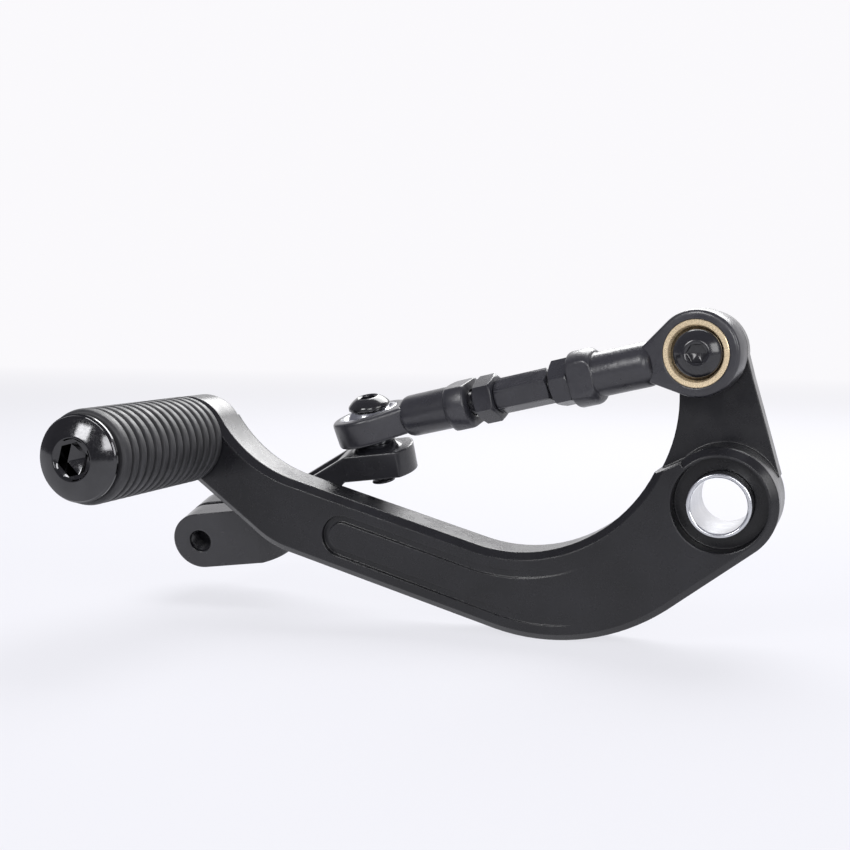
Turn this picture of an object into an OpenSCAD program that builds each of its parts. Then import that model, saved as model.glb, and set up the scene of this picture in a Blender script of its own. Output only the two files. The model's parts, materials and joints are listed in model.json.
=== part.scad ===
// Motorcycle gear shift lever with a ball-jointed link and a pinch-clamp crank.
// Frame: the pivot axis is Y, Y = 0 is the arm's front face, +Y goes into the machine,
// X runs from the toe peg towards the pivot, Z is up. All sizes in millimetres.

/* [Pivot hub and bush] */
// inner radius of the pivot bush
bush_bore_r = 6.05; // [5:0.05:8]
// outer radius of the pivot bush
bush_r = 7; // [6:0.1:9]
// length of the pivot bush
bush_len = 20; // [14:0.5:30]
// outer radius of the pivot hub
hub_r = 12.5; // [10:0.1:16]
// radius of the counterbore round the bush
cbore_r = 10.4; // [8:0.1:14]
// depth of the counterbore
cbore_depth = 6; // [1:0.5:9]

/* [Lever arm] */
// how far the bush stands proud of the arm's front face
bush_proud = 0.4; // [0:0.1:2]
// thickness of the arm
arm_t = 11.5; // [8:0.1:16]
// width of the long straight stretch
arm_w = 17.4; // [12:0.1:24]
// slope of the long straight stretch, degrees below level
arm_slope = 15.8; // [5:0.1:30]
// slope of the stretch that climbs to the hub, degrees
rise_slope = 36.9; // [20:0.1:50]
// radius of the lower bend
bend_r = 46.4; // [30:0.1:60]
// radius of the inner corner between the two arms
corner_r = 35; // [25:0.1:45]
// chamfer round the front face
face_chamfer = 1.6; // [0.5:0.1:3]
// chamfer round the back face
back_chamfer = 0.8; // [0.3:0.1:2]

/* [Toe end] */
// distance from the pivot axis to the peg axis, along X
peg_x = 129.3; // [100:0.1:160]
// height of the peg axis above the pivot axis
peg_z = 10.2; // [-10:0.1:30]
// radius of the toe end
toe_r = 10.5; // [8:0.1:14]

/* [Groove in the front face] */
// width of the groove
groove_w = 1.7; // [1:0.1:3]
// depth of the groove at its closed end
groove_depth = 1.3; // [0.5:0.1:2.5]
// half width of the panel inside the groove
panel_r = 3.2; // [2:0.1:5]

/* [Toe peg] */
// outer radius of the ribbed rubber
rubber_r = 10.55; // [8:0.05:14]
// length of the ribbed part
ribs_len = 40.2; // [25:0.1:60]
// number of narrow rings
rib_count = 13; // [6:1:20]
// depth of the grooves between the rings
rib_depth = 0.9; // [0.4:0.1:1.5]
// width of the smooth band at the outer end
band_w = 2.8; // [2:0.1:8]
// outer radius of the steel tube inside the rubber
tube_r = 7; // [5:0.1:9]
// radius of the dome head
dome_r = 9.6; // [7:0.1:12]
// height of the dome head above its rim
dome_h = 3.5; // [3:0.1:6]
// across flats of the hexagon socket in the dome
dome_hex = 8; // [5:0.5:10]

/* [Upper arm] */
// X of the upper joint
eye_x = -5.2; // [-15:0.1:10]
// height of the upper joint above the pivot axis
eye_z = 32.6; // [25:0.1:45]
// radius of the eye
eye_r = 9.4; // [8:0.1:13]
// where the eye's front face lies
eye_y = 12.1; // [8:0.1:14]
// where the upper arm's back face lies
upper_back_y = 19; // [16:0.1:24]

/* [Ball joints] */
// ball radius
ball_r = 6.35; // [5:0.05:8]
// width of the ball over its flat faces
ball_w = 9; // [7:0.1:12]
// gap between ball and race
ball_gap = 0.05; // [0.02:0.01:0.1]
// thickness of the joint's housing
housing_w = 6.75; // [5:0.05:9]
// radius of the housing's head
head_r = 9.7; // [8:0.1:12]
// outer radius of the race ring
race_r = 7.45; // [6.5:0.05:8.5]
// distance from ball centre to the end of the housing
reach = 30; // [24:0.5:40]
// depth of the flare in the race ring's mouths
race_flare = 0.9; // [0.3:0.1:1.2]
// shank radius
shank_r = 5.1; // [4.5:0.1:6.5]
// radius of the end collar
collar_r = 6.75; // [6:0.1:8]
// length of the end collar
collar_len = 5; // [4:0.1:9]
// across flats of the collar
collar_flats = 11; // [9:0.5:13]

/* [Link] */
// distance between the two ball centres
link_len = 87; // [80:0.5:120]
// slope of the link, degrees below level
link_drop = 13.1; // [0:0.1:30]
// angle of the link behind the plane of the lever, degrees
link_back = 10.8; // [0:0.05:12]
// across flats of the hexagonal rod
rod_hex = 7.5; // [6:0.5:10]
// across flats of the jam nuts
nut_hex = 10; // [8:0.5:13]
// thickness of the jam nuts
nut_t = 5; // [3:0.1:7]

/* [Screws] */
// radius of the M6 thread as a plain cylinder
screw_r = 2.95; // [2:0.05:4]
// radius of the button heads
button_r = 5.25; // [4:0.05:7]
// height of the button heads
button_h = 3.3; // [2:0.1:5]
// across flats of their sockets
button_hex = 4; // [3:0.5:5]
// clearance round the screws in plain holes
hole_gap = 0.15; // [0.05:0.05:0.4]

/* [Crank arm] */
// distance from the lower joint's screw to the shaft bore
crank_len = 39; // [25:0.5:60]
// how far the clamp lies below the crank's boss
crank_drop = 15; // [0:0.5:20]
// radius of the shaft bore
shaft_r = 5; // [4:0.1:8]
// height of the clamp
clamp_h = 14.8; // [10:0.1:20]
// half depth of the clamp, front face to middle
clamp_half = 8.3; // [7:0.1:11]
// distance from shaft bore to pinch screw
pinch_x = 11.4; // [9:0.1:14]
// width of the slit
slit_w = 2; // [1:0.1:3]
// radius of the crank's boss
boss_r = 9.2; // [8:0.1:12]
// thickness of the crank's boss
boss_t = 6.5; // [4:0.1:10]
// width of the crank between boss and clamp
web_w = 13; // [8:0.1:16]
// width of the channel in its top
channel_w = 9; // [2:0.1:12]

/* [Show] */
// which node is drawn

/* [Hidden] */
$fn = 72;
eps = 0.01;
// arcs overlap the straight edges they are tangent to by this much
over = 0.01;
face_y = 0;
back_y = face_y + arm_t;
bush_end_y = bush_len - bush_proud;
hub_back_y = bush_end_y - bush_proud;
web_y = eye_y + 0.4;
peg = [-peg_x, peg_z];
ribs_y = face_y - 0.4 - ribs_len;
rubber_end_y = ribs_y - band_w;
washer_t = 1;
rim_t = 0.6;
washer_y = rubber_end_y - washer_t;
rim_y = washer_y - rim_t;
peg_bolt_r = 4;
peg_bore_r = 4.1;
eye = [eye_x, eye_z];

// the outline's own geometry, in the plane of the arm (X, Z)
along = [cos(arm_slope), -sin(arm_slope)];
normal = [sin(arm_slope), cos(arm_slope)];
rise = [cos(rise_slope), sin(rise_slope)];
rise_out = [sin(rise_slope), -cos(rise_slope)];
hub_tangent = hub_r * rise_out;
// centre of the lower bend: tangent to the line under the hub and, through low_n, to the long stretch
low_n = -43.65;
bend_dist = hub_r - bend_r;
bend_x = (bend_dist * cos(arm_slope) + (low_n + bend_r) * cos(rise_slope)) / sin(arm_slope + rise_slope);
bend_z = (low_n + bend_r - bend_x * sin(arm_slope)) / cos(arm_slope);
bend = [bend_x, bend_z];
bend_a = bend - bend_r * normal;
bend_b = bend + bend_r * rise_out;
bend_tip = bend_a + along * bend_r * tan((arm_slope + rise_slope) / 2);
// centre of the inner corner: tangent to the long stretch's upper side, upright at the upper arm's left side
corner_x = -10.5 - corner_r;
corner = [corner_x, (low_n + arm_w + corner_r - corner_x * sin(arm_slope)) / cos(arm_slope)];
corner_a = corner - corner_r * normal;
// the toe's own leg
elbow = [-106.7, (low_n + 106.7 * sin(arm_slope)) / cos(arm_slope)];
toe_slope = 36.9;
toe_dir = [-cos(toe_slope), sin(toe_slope)];
toe_leg = elbow + ((peg - elbow) * toe_dir - 4) * toe_dir;
elbow_r = 24;
elbow_t = elbow_r * tan((toe_slope - arm_slope) / 2);
elbow_a = elbow + elbow_t * toe_dir;
elbow_b = elbow + elbow_t * along;
elbow_c = elbow_b + elbow_r * normal;
// the hollow curve between toe and long stretch touches the toe end and the long stretch's upper side
hollow_r = 34;
hollow_n = low_n + arm_w + hollow_r;
peg_n = peg * normal;
hollow_along = peg * along + sqrt(pow(hollow_r + toe_r, 2) - pow(hollow_n - peg_n, 2));
hollow = hollow_n * normal + hollow_along * along;
hollow_a = hollow - hollow_r * normal;
hollow_t = peg + toe_r * (hollow - peg) / norm(hollow - peg);

// the link's axes
link_x = [-cos(link_back) * cos(link_drop), sin(link_back), -cos(link_back) * sin(link_drop)];
upper_o = [eye_x, 6, eye_z];
lower_o = upper_o + link_len * link_x;
function unit(v) = v / norm(v);
function flat(v, n) = unit(v - (v * n) * n);
upper_z = flat([0, -1, 0], link_x);
crank_z = unit([-0.11, -0.22, 0.97]);
lower_z = flat(crank_z, link_x);
crank_turn = 3;
crank_side_x = unit([-crank_z[2], 0, crank_z[0]]);
crank_x = cos(crank_turn) * crank_side_x + sin(crank_turn) * cross(crank_z, crank_side_x);
upper_gap = 0.05;
upper_nut_t = 6;
// along the link from the upper ball: nut, a little bare thread, hexagon, nut, bare thread, rod end
upper_thread = 1;
lower_thread = 1.9;
rod_start = reach + nut_t + upper_thread;
lower_nut_at = link_len - reach - lower_thread - nut_t;
rod_end = lower_nut_at - 0.1;
stud_start = reach - 17;
stud_end = link_len - stud_start;

module place(o, x, z) {
    y = cross(z, x);
    multmatrix([[x[0], y[0], z[0], o[0]], [x[1], y[1], z[1], o[1]], [x[2], y[2], z[2], o[2]], [0, 0, 0, 1]])
        children();
}

// draws a flat shape given in (X, Z) as a plate from y0 to y1
module plate(y0, y1) {
    translate([0, y1, 0]) rotate([90, 0, 0]) linear_extrude(y1 - y0) children();
}

// a round body about a line along Y through p, from a profile of [radius, y]
module turned(p, profile) {
    translate([p[0], 0, p[1]]) rotate([-90, 0, 0]) rotate_extrude() polygon(profile);
}

module hexagon(flats) { circle(r = flats / sqrt(3), $fn = 6); }

// a wedge along a straight edge from a to b that cuts its front chamfer; inside lies to the left,
// and it runs on past both ends
module edge_wedge(a, b, run_on) {
    c = face_chamfer;
    d = (b - a) / norm(b - a);
    l = norm(b - a);
    place([a[0] - run_on * d[0], face_y, a[1] - run_on * d[1]], [d[0], 0, d[1]], [-d[1], 0, d[0]])
        rotate([90, 0, 90]) linear_extrude(l + 2 * run_on) polygon([[-1, -1], [c + 1, -1], [-1, c + 1]]);
}

// the part of a round bend that bulges past its chord: centre p, radius r, between the tangent points
// a and b, whose straight edges run along da and db and have their outer side towards na and nb
module bulge(p, r, a, da, na, b, db, nb) {
    reach = 3;
    intersection() {
        translate(p) circle(r = r + over, $fn = 180);
        polygon([a - reach * da - reach * na, a - reach * da + reach * na, (a + b) / 2 + r * (na + nb) / 2,
            b + reach * db + reach * nb, b + reach * db - reach * nb]);
    }
}

// Lever arm
module arm_outline() {
    difference() {
        union() {
            polygon([peg, toe_leg, elbow_a, elbow_b, bend_a, bend_b, hub_tangent, [0, 0], [-8.5, 8.9],
                [-13.6, 6.4], corner, corner_a, hollow_a, hollow, hollow_t]);
            bulge(bend, bend_r, bend_a, along, -normal, bend_b, rise, rise_out);
            bulge(elbow_c, elbow_r, elbow_a, -toe_dir, [-toe_dir[1], toe_dir[0]], elbow_b, along, -normal);
        }
        translate(corner) circle(r = corner_r + over, $fn = 144);
        translate(hollow) circle(r = hollow_r + over, $fn = 144);
    }
}

module hub_solid() {
    c = face_chamfer;
    r = hub_r + over;
    turned([0, 0], [[0, face_y], [r - c, face_y], [r, face_y + c], [r, hub_back_y - c],
        [r - c, hub_back_y], [0, hub_back_y]]);
}

module toe_solid() {
    c = face_chamfer;
    b = back_chamfer;
    turned(peg, [[0, face_y], [toe_r - c, face_y], [toe_r, face_y + c], [toe_r, back_y - b],
        [toe_r - b, back_y], [0, back_y]]);
}

// cuts the chamfer off a convex round edge: centre p, radius r, from start degrees on by turn
module round_chamfer(p, r, start, turn) {
    c = face_chamfer;
    o = r + over;
    translate([p[0], face_y, p[1]]) rotate([90, 0, 0]) rotate([0, 0, start])
        mirror([0, 0, 1]) rotate_extrude(angle = turn, $fn = 180)
            polygon([[o - c - 1, -1], [o + 1, -1], [o + 1, c + 1]]);
}

module hollow_chamfer(p, r) {
    c = face_chamfer;
    translate([p[0], face_y - 1, p[1]]) rotate([-90, 0, 0])
        cylinder(r1 = r + over + c + 1, r2 = r + over - 1, h = c + 2, $fn = 144);
}

module arm_plate() {
    difference() {
        plate(face_y, back_y) arm_outline();
        hollow_chamfer(corner, corner_r);
        hollow_chamfer(hollow, hollow_r);
        round_chamfer(bend, bend_r, -90 - arm_slope, arm_slope + rise_slope);
        round_chamfer(elbow_c, elbow_r, -90 - toe_slope, toe_slope - arm_slope);
        edge_wedge(toe_leg, elbow_a, 1.2);
        edge_wedge(elbow_b, bend_a, 1.2);
        edge_wedge(bend_b, hub_tangent, 1.2);
        edge_wedge(corner_a, hollow_a, 0.3);
    }
}

// a strip that follows the arm, closed and round at its toe end
panel_n = low_n + 8.55;
panel_end = panel_n * normal + (-81.4) * along;
module strip(h) {
    up_r = corner * normal - panel_n - h;
    low_r = bend * normal - panel_n + h;
    up = corner - up_r * normal;
    low = bend - low_r * normal;
    far = -30;
    difference() {
        union() {
            translate(panel_end) circle(r = h + over);
            polygon([panel_end + h * normal, panel_end - h * normal, low, up]);
            intersection() {
                translate(bend) circle(r = low_r + over, $fn = 180);
                polygon([(up + low) / 2 - 3 * along, low - 3 * along - 5 * normal, low - 20 * normal,
                    [far, -45], [far, -8], up + 5 * normal, up]);
            }
        }
        translate(corner) circle(r = up_r + over, $fn = 180);
    }
}

module groove() {
    fade = atan(groove_depth / 62);
    intersection() {
        plate(face_y - 1, face_y + groove_depth) difference() {
            strip(panel_r + groove_w);
            strip(panel_r);
        }
        translate([-31, face_y, -60]) rotate([0, 0, 180 - fade]) cube([90, 5, 80]);
    }
}

module upper_outline() {
    difference() {
        polygon([[0, 0], [hub_r - 0.9, 5.2], [8, 18], [5.4, 27], [eye_x + eye_r - 1, eye_z + 3], eye,
            [-15, eye_z - 2], corner, [-15, 4]]);
        translate(corner) circle(r = corner_r, $fn = 144);
    }
}

module lever_arm() {
    color([0.10, 0.10, 0.11]) difference() {
        union() {
            hub_solid();
            toe_solid();
            arm_plate();
            plate(web_y, upper_back_y) upper_outline();
            // the two levels are one casting up to the inner corner
            plate(back_y, web_y + 1) intersection() {
                upper_outline();
                arm_outline();
            }
            turned(eye, [[0, eye_y], [eye_r - 0.8, eye_y], [eye_r, eye_y + 0.8],
                [eye_r, upper_back_y - 0.8], [eye_r - 0.8, upper_back_y], [0, upper_back_y]]);
        }
        turned([0, 0], [[0, -1], [bush_r, -1], [bush_r, bush_len + 1], [0, bush_len + 1]]);
        turned([0, 0], [[0, -1], [cbore_r, -1], [cbore_r, face_y + cbore_depth], [0, face_y + cbore_depth]]);
        turned(eye, [[0, 0], [screw_r + hole_gap, 0], [screw_r + hole_gap, 30], [0, 30]]);
        turned(peg, [[0, -1], [peg_bore_r, -1], [peg_bore_r, 30], [0, 30]]);
        groove();
    }
}

// Pivot bush
module pivot_bush() {
    c = 0.4;
    color([0.80, 0.81, 0.83]) turned([0, 0], [[bush_bore_r + 0.25, -bush_proud], [bush_r - c, -bush_proud],
        [bush_r, c - bush_proud], [bush_r, bush_end_y - c], [bush_r - c, bush_end_y],
        [bush_bore_r + 0.25, bush_end_y], [bush_bore_r, bush_end_y - 0.3], [bush_bore_r, 0.3 - bush_proud]]);
}

// Toe peg
module toe_peg_tube() {
    color([0.55, 0.56, 0.58]) turned(peg, [[peg_bore_r, rubber_end_y], [tube_r, rubber_end_y],
        [tube_r, face_y], [peg_bore_r, face_y]]);
}

module toe_peg_rubber() {
    pitch = ribs_len / rib_count;
    floor_r = rubber_r - rib_depth;
    ribs = [for (i = [0 : rib_count - 1]) each [
        [floor_r, ribs_y + i * pitch + 0.3], [floor_r, ribs_y + i * pitch + 0.9],
        [rubber_r, ribs_y + i * pitch + 1.25], [rubber_r, ribs_y + (i + 1) * pitch]]];
    color([0.13, 0.13, 0.14]) turned(peg, concat(
        [[tube_r + 0.05, rubber_end_y], [rubber_r - 0.8, rubber_end_y], [rubber_r - 0.3, rubber_end_y + 0.6],
         [rubber_r, rubber_end_y + 1.6], [rubber_r, ribs_y]],
        ribs, [[rubber_r, face_y - 0.3], [tube_r + 0.05, face_y - 0.3]]));
}

module toe_peg_washer() {
    color([0.05, 0.05, 0.05]) turned(peg, [[peg_bore_r, washer_y], [8.4, washer_y],
        [8.4, rubber_end_y], [peg_bore_r, rubber_end_y]]);
}

// the dome as an arc through its rim and its flat top
module toe_peg_bolt() {
    top_r = 5;
    sphere_r = (dome_r * dome_r + dome_h * dome_h) / (2 * dome_h) * 1.12;
    color([0.16, 0.16, 0.17]) difference() {
        union() {
            turned(peg, [[0, rim_y], [dome_r, rim_y], [dome_r, washer_y], [peg_bolt_r, washer_y],
                [peg_bolt_r, back_y - 1.5], [0, back_y - 1.5]]);
            intersection() {
                translate([peg[0], rim_y - dome_h - 0.35 + sphere_r, peg[1]]) sphere(r = sphere_r, $fn = 144);
                turned(peg, [[0, rim_y - dome_h], [dome_r, rim_y - dome_h], [dome_r, rim_y], [0, rim_y]]);
            }
        }
        translate([peg[0], rim_y + 0.6, peg[1]]) rotate([90, 12, 0]) linear_extrude(12) hexagon(dome_hex);
        turned(peg, [[0, rim_y - dome_h - 1], [top_r + 0.7, rim_y - dome_h - 1], [4.5, rim_y - dome_h + 0.4],
            [0, rim_y - dome_h + 0.4]]);
    }
}

// Button head screw: under the head is z = 0, the shank goes down to -l
module button_screw(l) {
    sphere_r = 6.1;
    difference() {
        union() {
            translate([0, 0, -l]) cylinder(r = screw_r, h = l + eps);
            cylinder(r = button_r, h = 0.6);
            intersection() {
                translate([0, 0, button_h + 0.15 - sphere_r]) sphere(r = sphere_r, $fn = 96);
                translate([0, 0, 0.5]) cylinder(r = button_r, h = button_h - 0.5);
            }
        }
        translate([0, 0, button_h - 2.2]) linear_extrude(4) hexagon(button_hex);
        translate([0, 0, button_h - 0.3]) cylinder(r1 = 2.25, r2 = 2.95, h = 0.7);
    }
}

// Hexagon nut with chamfered corners, z from 0 to t
module hex_nut(flats, t, bore) {
    r = flats / sqrt(3);
    difference() {
        intersection() {
            linear_extrude(t) hexagon(flats);
            rotate_extrude() polygon([[0, 0], [flats / 2 - 0.1, 0], [r, 0.5], [r, t - 0.5],
                [flats / 2 - 0.1, t], [0, t]]);
        }
        translate([0, 0, -1]) cylinder(r = bore, h = t + 2);
    }
}

// Ball: its axis is Z
module ball() {
    difference() {
        sphere(r = ball_r, $fn = 96);
        for (s = [-1, 1]) translate([-10, -10, s > 0 ? ball_w / 2 : -ball_w / 2 - 10]) cube([20, 20, 10]);
        translate([0, 0, -10]) cylinder(r = screw_r + 0.05, h = 20);
    }
}

// Race ring of a rod end: the cup round the ball
module race() {
    difference() {
        cylinder(r = race_r, h = housing_w + 0.1, center = true);
        sphere(r = ball_r + ball_gap, $fn = 96);
        // both mouths are flared, so that the ring clears the screw's head when it tilts
        for (s = [0, 1]) rotate([180 * s, 0, 0]) translate([0, 0, housing_w / 2 + 0.05 - race_flare])
            cylinder(r1 = race_r - 0.7 - race_flare, r2 = race_r - 0.7 + 0.3, h = race_flare + 0.3);
    }
}

// Rod end housing: ball centre at the origin, shank along +X, ball axis Z
module housing() {
    h = housing_w / 2;
    c = 0.5;
    difference() {
        union() {
            rotate_extrude($fn = 96) polygon([[0, -h], [head_r - c, -h], [head_r, -h + c], [head_r, h - c],
                [head_r - c, h], [0, h]]);
            translate([0, 0, -h]) linear_extrude(2 * h) polygon([[0, -8.4], [6.5, -7.1], [16, -shank_r + 0.4],
                [18, -3], [18, 3], [16, shank_r - 0.4], [6.5, 7.1], [0, 8.4]]);
            rotate([0, 90, 0]) rotate_extrude() polygon([[0, 9], [h + 0.3, 9], [shank_r, 14.5],
                [shank_r, reach - collar_len], [0, reach - collar_len]]);
            intersection() {
                rotate([0, 90, 0]) rotate_extrude() polygon([[0, reach - collar_len - 0.6],
                    [shank_r, reach - collar_len - 0.6], [collar_r, reach - collar_len + 0.5],
                    [collar_r, reach - 0.5], [collar_r - 0.5, reach], [0, reach]]);
                translate([0, -10, -collar_flats / 2]) cube([40, 20, collar_flats]);
            }
        }
        cylinder(r = race_r, h = 20, center = true);
        translate([stud_start - 1.5, 0, 0]) rotate([0, 90, 0]) cylinder(r = screw_r + 0.05, h = reach);
    }
}

// Upper joint
module upper_joint_screw() {
    color([0.08, 0.08, 0.09]) place([eye_x, upper_o[1] - ball_w / 2 - upper_gap, eye_z], [1, 0, 0], [0, -1, 0])
        button_screw(upper_back_y + upper_nut_t + 1 - (upper_o[1] - ball_w / 2 - upper_gap));
}

module upper_joint_spacer() {
    y0 = upper_o[1] + ball_w / 2 + upper_gap;
    color([0.12, 0.12, 0.13]) turned(eye, [[screw_r + hole_gap, y0], [4.6, y0], [4.6, eye_y], [screw_r + hole_gap, eye_y]]);
}

module upper_joint_nut() {
    color([0.10, 0.10, 0.11]) translate([eye_x, upper_back_y, eye_z]) rotate([-90, 0, 0])
        hex_nut(nut_hex, upper_nut_t, screw_r + 0.05);
}

module upper_ball() {
    color([0.16, 0.16, 0.17]) translate(upper_o) rotate([90, 0, 0]) ball();
}

// Link
module upper_rod_end() {
    color([0.09, 0.09, 0.10]) place(upper_o, link_x, upper_z) housing();
}

module upper_race() {
    color([0.72, 0.55, 0.25]) place(upper_o, link_x, upper_z) race();
}

module upper_jam_nut() {
    color([0.09, 0.09, 0.10]) place(upper_o + reach * link_x, upper_z, link_x)
        rotate([0, 0, 12]) hex_nut(nut_hex, nut_t, screw_r + 0.05);
}

module link_rod() {
    color([0.09, 0.09, 0.10]) place(upper_o, upper_z, link_x) {
        translate([0, 0, rod_start]) rotate([0, 0, 20]) hex_nut(rod_hex, rod_end - rod_start, 0.01);
        translate([0, 0, stud_start]) cylinder(r = screw_r, h = rod_start - stud_start + 1);
        translate([0, 0, rod_end - 1]) cylinder(r = screw_r, h = stud_end - rod_end + 1);
    }
}

module lower_jam_nut() {
    color([0.09, 0.09, 0.10]) place(upper_o + lower_nut_at * link_x, upper_z, link_x)
        rotate([0, 0, 35]) hex_nut(nut_hex, nut_t, screw_r + 0.05);
}

module lower_rod_end() {
    color([0.09, 0.09, 0.10]) place(lower_o, -link_x, lower_z) housing();
}

module lower_race() {
    color([0.70, 0.69, 0.66]) place(lower_o, -link_x, lower_z) race();
}

// Lower joint and crank, in the crank's own frame: ball centre at the origin, Z the screw's axis
module in_crank() { place(lower_o, crank_x, crank_z) children(); }

module lower_ball() {
    color([0.55, 0.55, 0.57]) in_crank() ball();
}

module lower_joint_screw() {
    color([0.08, 0.08, 0.09]) in_crank() translate([0, 0, ball_w / 2 + upper_gap]) button_screw(ball_w + 2 * upper_gap + spacer_t + boss_t + 2.4);
}

spacer_t = 1.5;
boss_top = -ball_w / 2 - upper_gap - spacer_t;
clamp_z = boss_top - boss_t / 2 - crank_drop;
module lower_joint_spacer() {
    color([0.10, 0.10, 0.11]) in_crank() translate([0, 0, boss_top]) difference() {
        cylinder(r1 = 6.4, r2 = 4.6, h = spacer_t);
        translate([0, 0, -1]) cylinder(r = screw_r + 0.05, h = spacer_t + 2);
    }
}

// the crank seen from the side (its own X, Z): boss, sloping web, clamp
module crank_side() {
    top = clamp_z + clamp_h / 2;
    low = clamp_z - clamp_h / 2;
    polygon([[-boss_r, boss_top], [7, boss_top], [crank_len - 8, top], [crank_len - 3, top], [crank_len - 3, low],
        [crank_len - 9, low + 2], [8, boss_top - boss_t], [-boss_r, boss_top - boss_t]]);
}

// the crank seen from above: a round end with flat sides
module crank_plan() {
    intersection() {
        union() {
            circle(r = boss_r, $fn = 96);
            translate([0, -web_w / 2]) square([crank_len, web_w]);
        }
        translate([-boss_r, -web_w / 2]) square([boss_r + crank_len, web_w]);
    }
}

module crank_arm() {
    pin = crank_len + pinch_x;
    end_r = clamp_h / 2;
    color([0.07, 0.07, 0.08]) in_crank() difference() {
        union() {
            intersection() {
                translate([0, web_w, 0]) rotate([90, 0, 0]) linear_extrude(2 * web_w) crank_side();
                translate([0, 0, clamp_z - 20]) linear_extrude(60) crank_plan();
            }
            intersection() {
                translate([crank_len, 0, clamp_z - end_r]) cylinder(r = 9.6, h = clamp_h);
                translate([0, -clamp_half, clamp_z - 20]) cube([80, 2 * clamp_half, 40]);
            }
            translate([0, clamp_half, 0]) rotate([90, 0, 0]) linear_extrude(2 * clamp_half) union() {
                translate([pin, clamp_z]) circle(r = end_r);
                translate([crank_len - 3, clamp_z - end_r]) square([pinch_x + 3, clamp_h]);
            }
        }
        translate([0, 0, -30]) cylinder(r = screw_r + 0.05, h = 60);
        translate([crank_len, 0, clamp_z - 20]) cylinder(r = shaft_r, h = 40);
        translate([crank_len, -slit_w / 2, clamp_z - 20]) cube([40, slit_w, 40]);
        translate([pin, 20, clamp_z]) rotate([90, 0, 0]) cylinder(r = screw_r + 0.05, h = 40);
        // channel in the top of the web, parallel to its slope
        translate([0, channel_w / 2, 0]) rotate([90, 0, 0]) linear_extrude(channel_w)
            polygon([[9.5, boss_top + 3], [9.5, boss_top - 3.2], [crank_len - 9.6, clamp_z + end_r - 2.6],
                [crank_len - 9.6, boss_top + 3]]);
    }
}

module crank_pinch_screw() {
    pin = crank_len + pinch_x;
    color([0.10, 0.10, 0.11]) in_crank() translate([pin, -clamp_half, clamp_z]) rotate([90, 0, 0]) difference() {
        union() {
            cylinder(r = 5, h = 6);
            translate([0, 0, -11.5]) cylinder(r = screw_r, h = 11.5 + eps);
        }
        translate([0, 0, 3]) linear_extrude(4) hexagon(5);
    }
}

lever_arm();
pivot_bush();
toe_peg_tube();
toe_peg_rubber();
toe_peg_washer();
toe_peg_bolt();
upper_joint_screw();
upper_joint_spacer();
upper_joint_nut();
upper_ball();
upper_rod_end();
upper_race();
upper_jam_nut();
link_rod();
lower_jam_nut();
lower_rod_end();
lower_race();
lower_ball();
lower_joint_screw();
lower_joint_spacer();
crank_arm();
crank_pinch_screw();
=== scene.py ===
"""Looks of a motorcycle gear shift lever with its ball-jointed link and clamp crank."""
import json
import math

import bpy
import numpy as np
from mathutils import Matrix, Vector


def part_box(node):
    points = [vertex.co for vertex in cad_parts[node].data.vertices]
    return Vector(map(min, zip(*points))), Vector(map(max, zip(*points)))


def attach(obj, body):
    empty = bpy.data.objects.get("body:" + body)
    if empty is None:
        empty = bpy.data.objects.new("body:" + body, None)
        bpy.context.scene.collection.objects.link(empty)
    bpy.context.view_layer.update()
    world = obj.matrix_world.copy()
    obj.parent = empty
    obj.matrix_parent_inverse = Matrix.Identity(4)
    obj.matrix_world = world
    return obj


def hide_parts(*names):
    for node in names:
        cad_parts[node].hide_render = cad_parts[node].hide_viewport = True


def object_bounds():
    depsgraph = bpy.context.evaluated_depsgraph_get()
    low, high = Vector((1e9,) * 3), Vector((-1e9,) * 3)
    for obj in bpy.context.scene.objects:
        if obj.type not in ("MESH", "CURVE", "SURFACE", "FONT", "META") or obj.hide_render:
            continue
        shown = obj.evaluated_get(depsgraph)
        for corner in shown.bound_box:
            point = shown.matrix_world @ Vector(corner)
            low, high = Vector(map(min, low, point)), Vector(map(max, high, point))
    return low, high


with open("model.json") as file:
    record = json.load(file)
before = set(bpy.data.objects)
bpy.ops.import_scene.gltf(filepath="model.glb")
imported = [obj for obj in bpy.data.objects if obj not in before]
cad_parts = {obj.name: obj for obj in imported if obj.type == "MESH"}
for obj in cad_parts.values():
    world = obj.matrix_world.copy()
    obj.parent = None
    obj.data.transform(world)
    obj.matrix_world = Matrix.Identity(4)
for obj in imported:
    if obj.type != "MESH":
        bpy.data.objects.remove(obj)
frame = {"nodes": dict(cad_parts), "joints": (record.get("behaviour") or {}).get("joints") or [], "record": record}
CAD_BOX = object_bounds()

bl_info = {
    "name": "Gear Shift Lever Looks",
    "version": (1, 0, 0),
    "blender": (4, 5, 0),
    "location": "View3D > Sidebar > Shift Lever",
    "description": "Builds the finishes, threads and rubber of a gear shift lever",
    "category": "Object",
}

MM = 0.001
RING_STEPS = 96
JOINTS = {joint["name"]: joint for joint in frame["joints"]}
MOUNTS = {mount["name"]: mount for mount in frame["record"]["mounts"]}


# Places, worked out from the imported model

def unit(v):
    v = np.array(v, float)
    return v / np.linalg.norm(v)


def across(v, n):
    """The part of v that is square to n, as a unit vector."""
    return unit(np.array(v, float) - np.dot(v, n) * np.array(n, float))


UPPER = np.array(JOINTS["upper_swivel"]["pos_m"])
LOWER = np.array(JOINTS["lower_swivel"]["pos_m"])
LINK_X = unit(LOWER - UPPER)
LINK_Z = across([0, -1, 0], LINK_X)
CRANK_Z = unit(JOINTS["lower_swivel"]["axis"])
BORE = np.array(MOUNTS["shaft_bore"]["pos_m"])
CRANK_X = across(BORE - LOWER, CRANK_Z)


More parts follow.
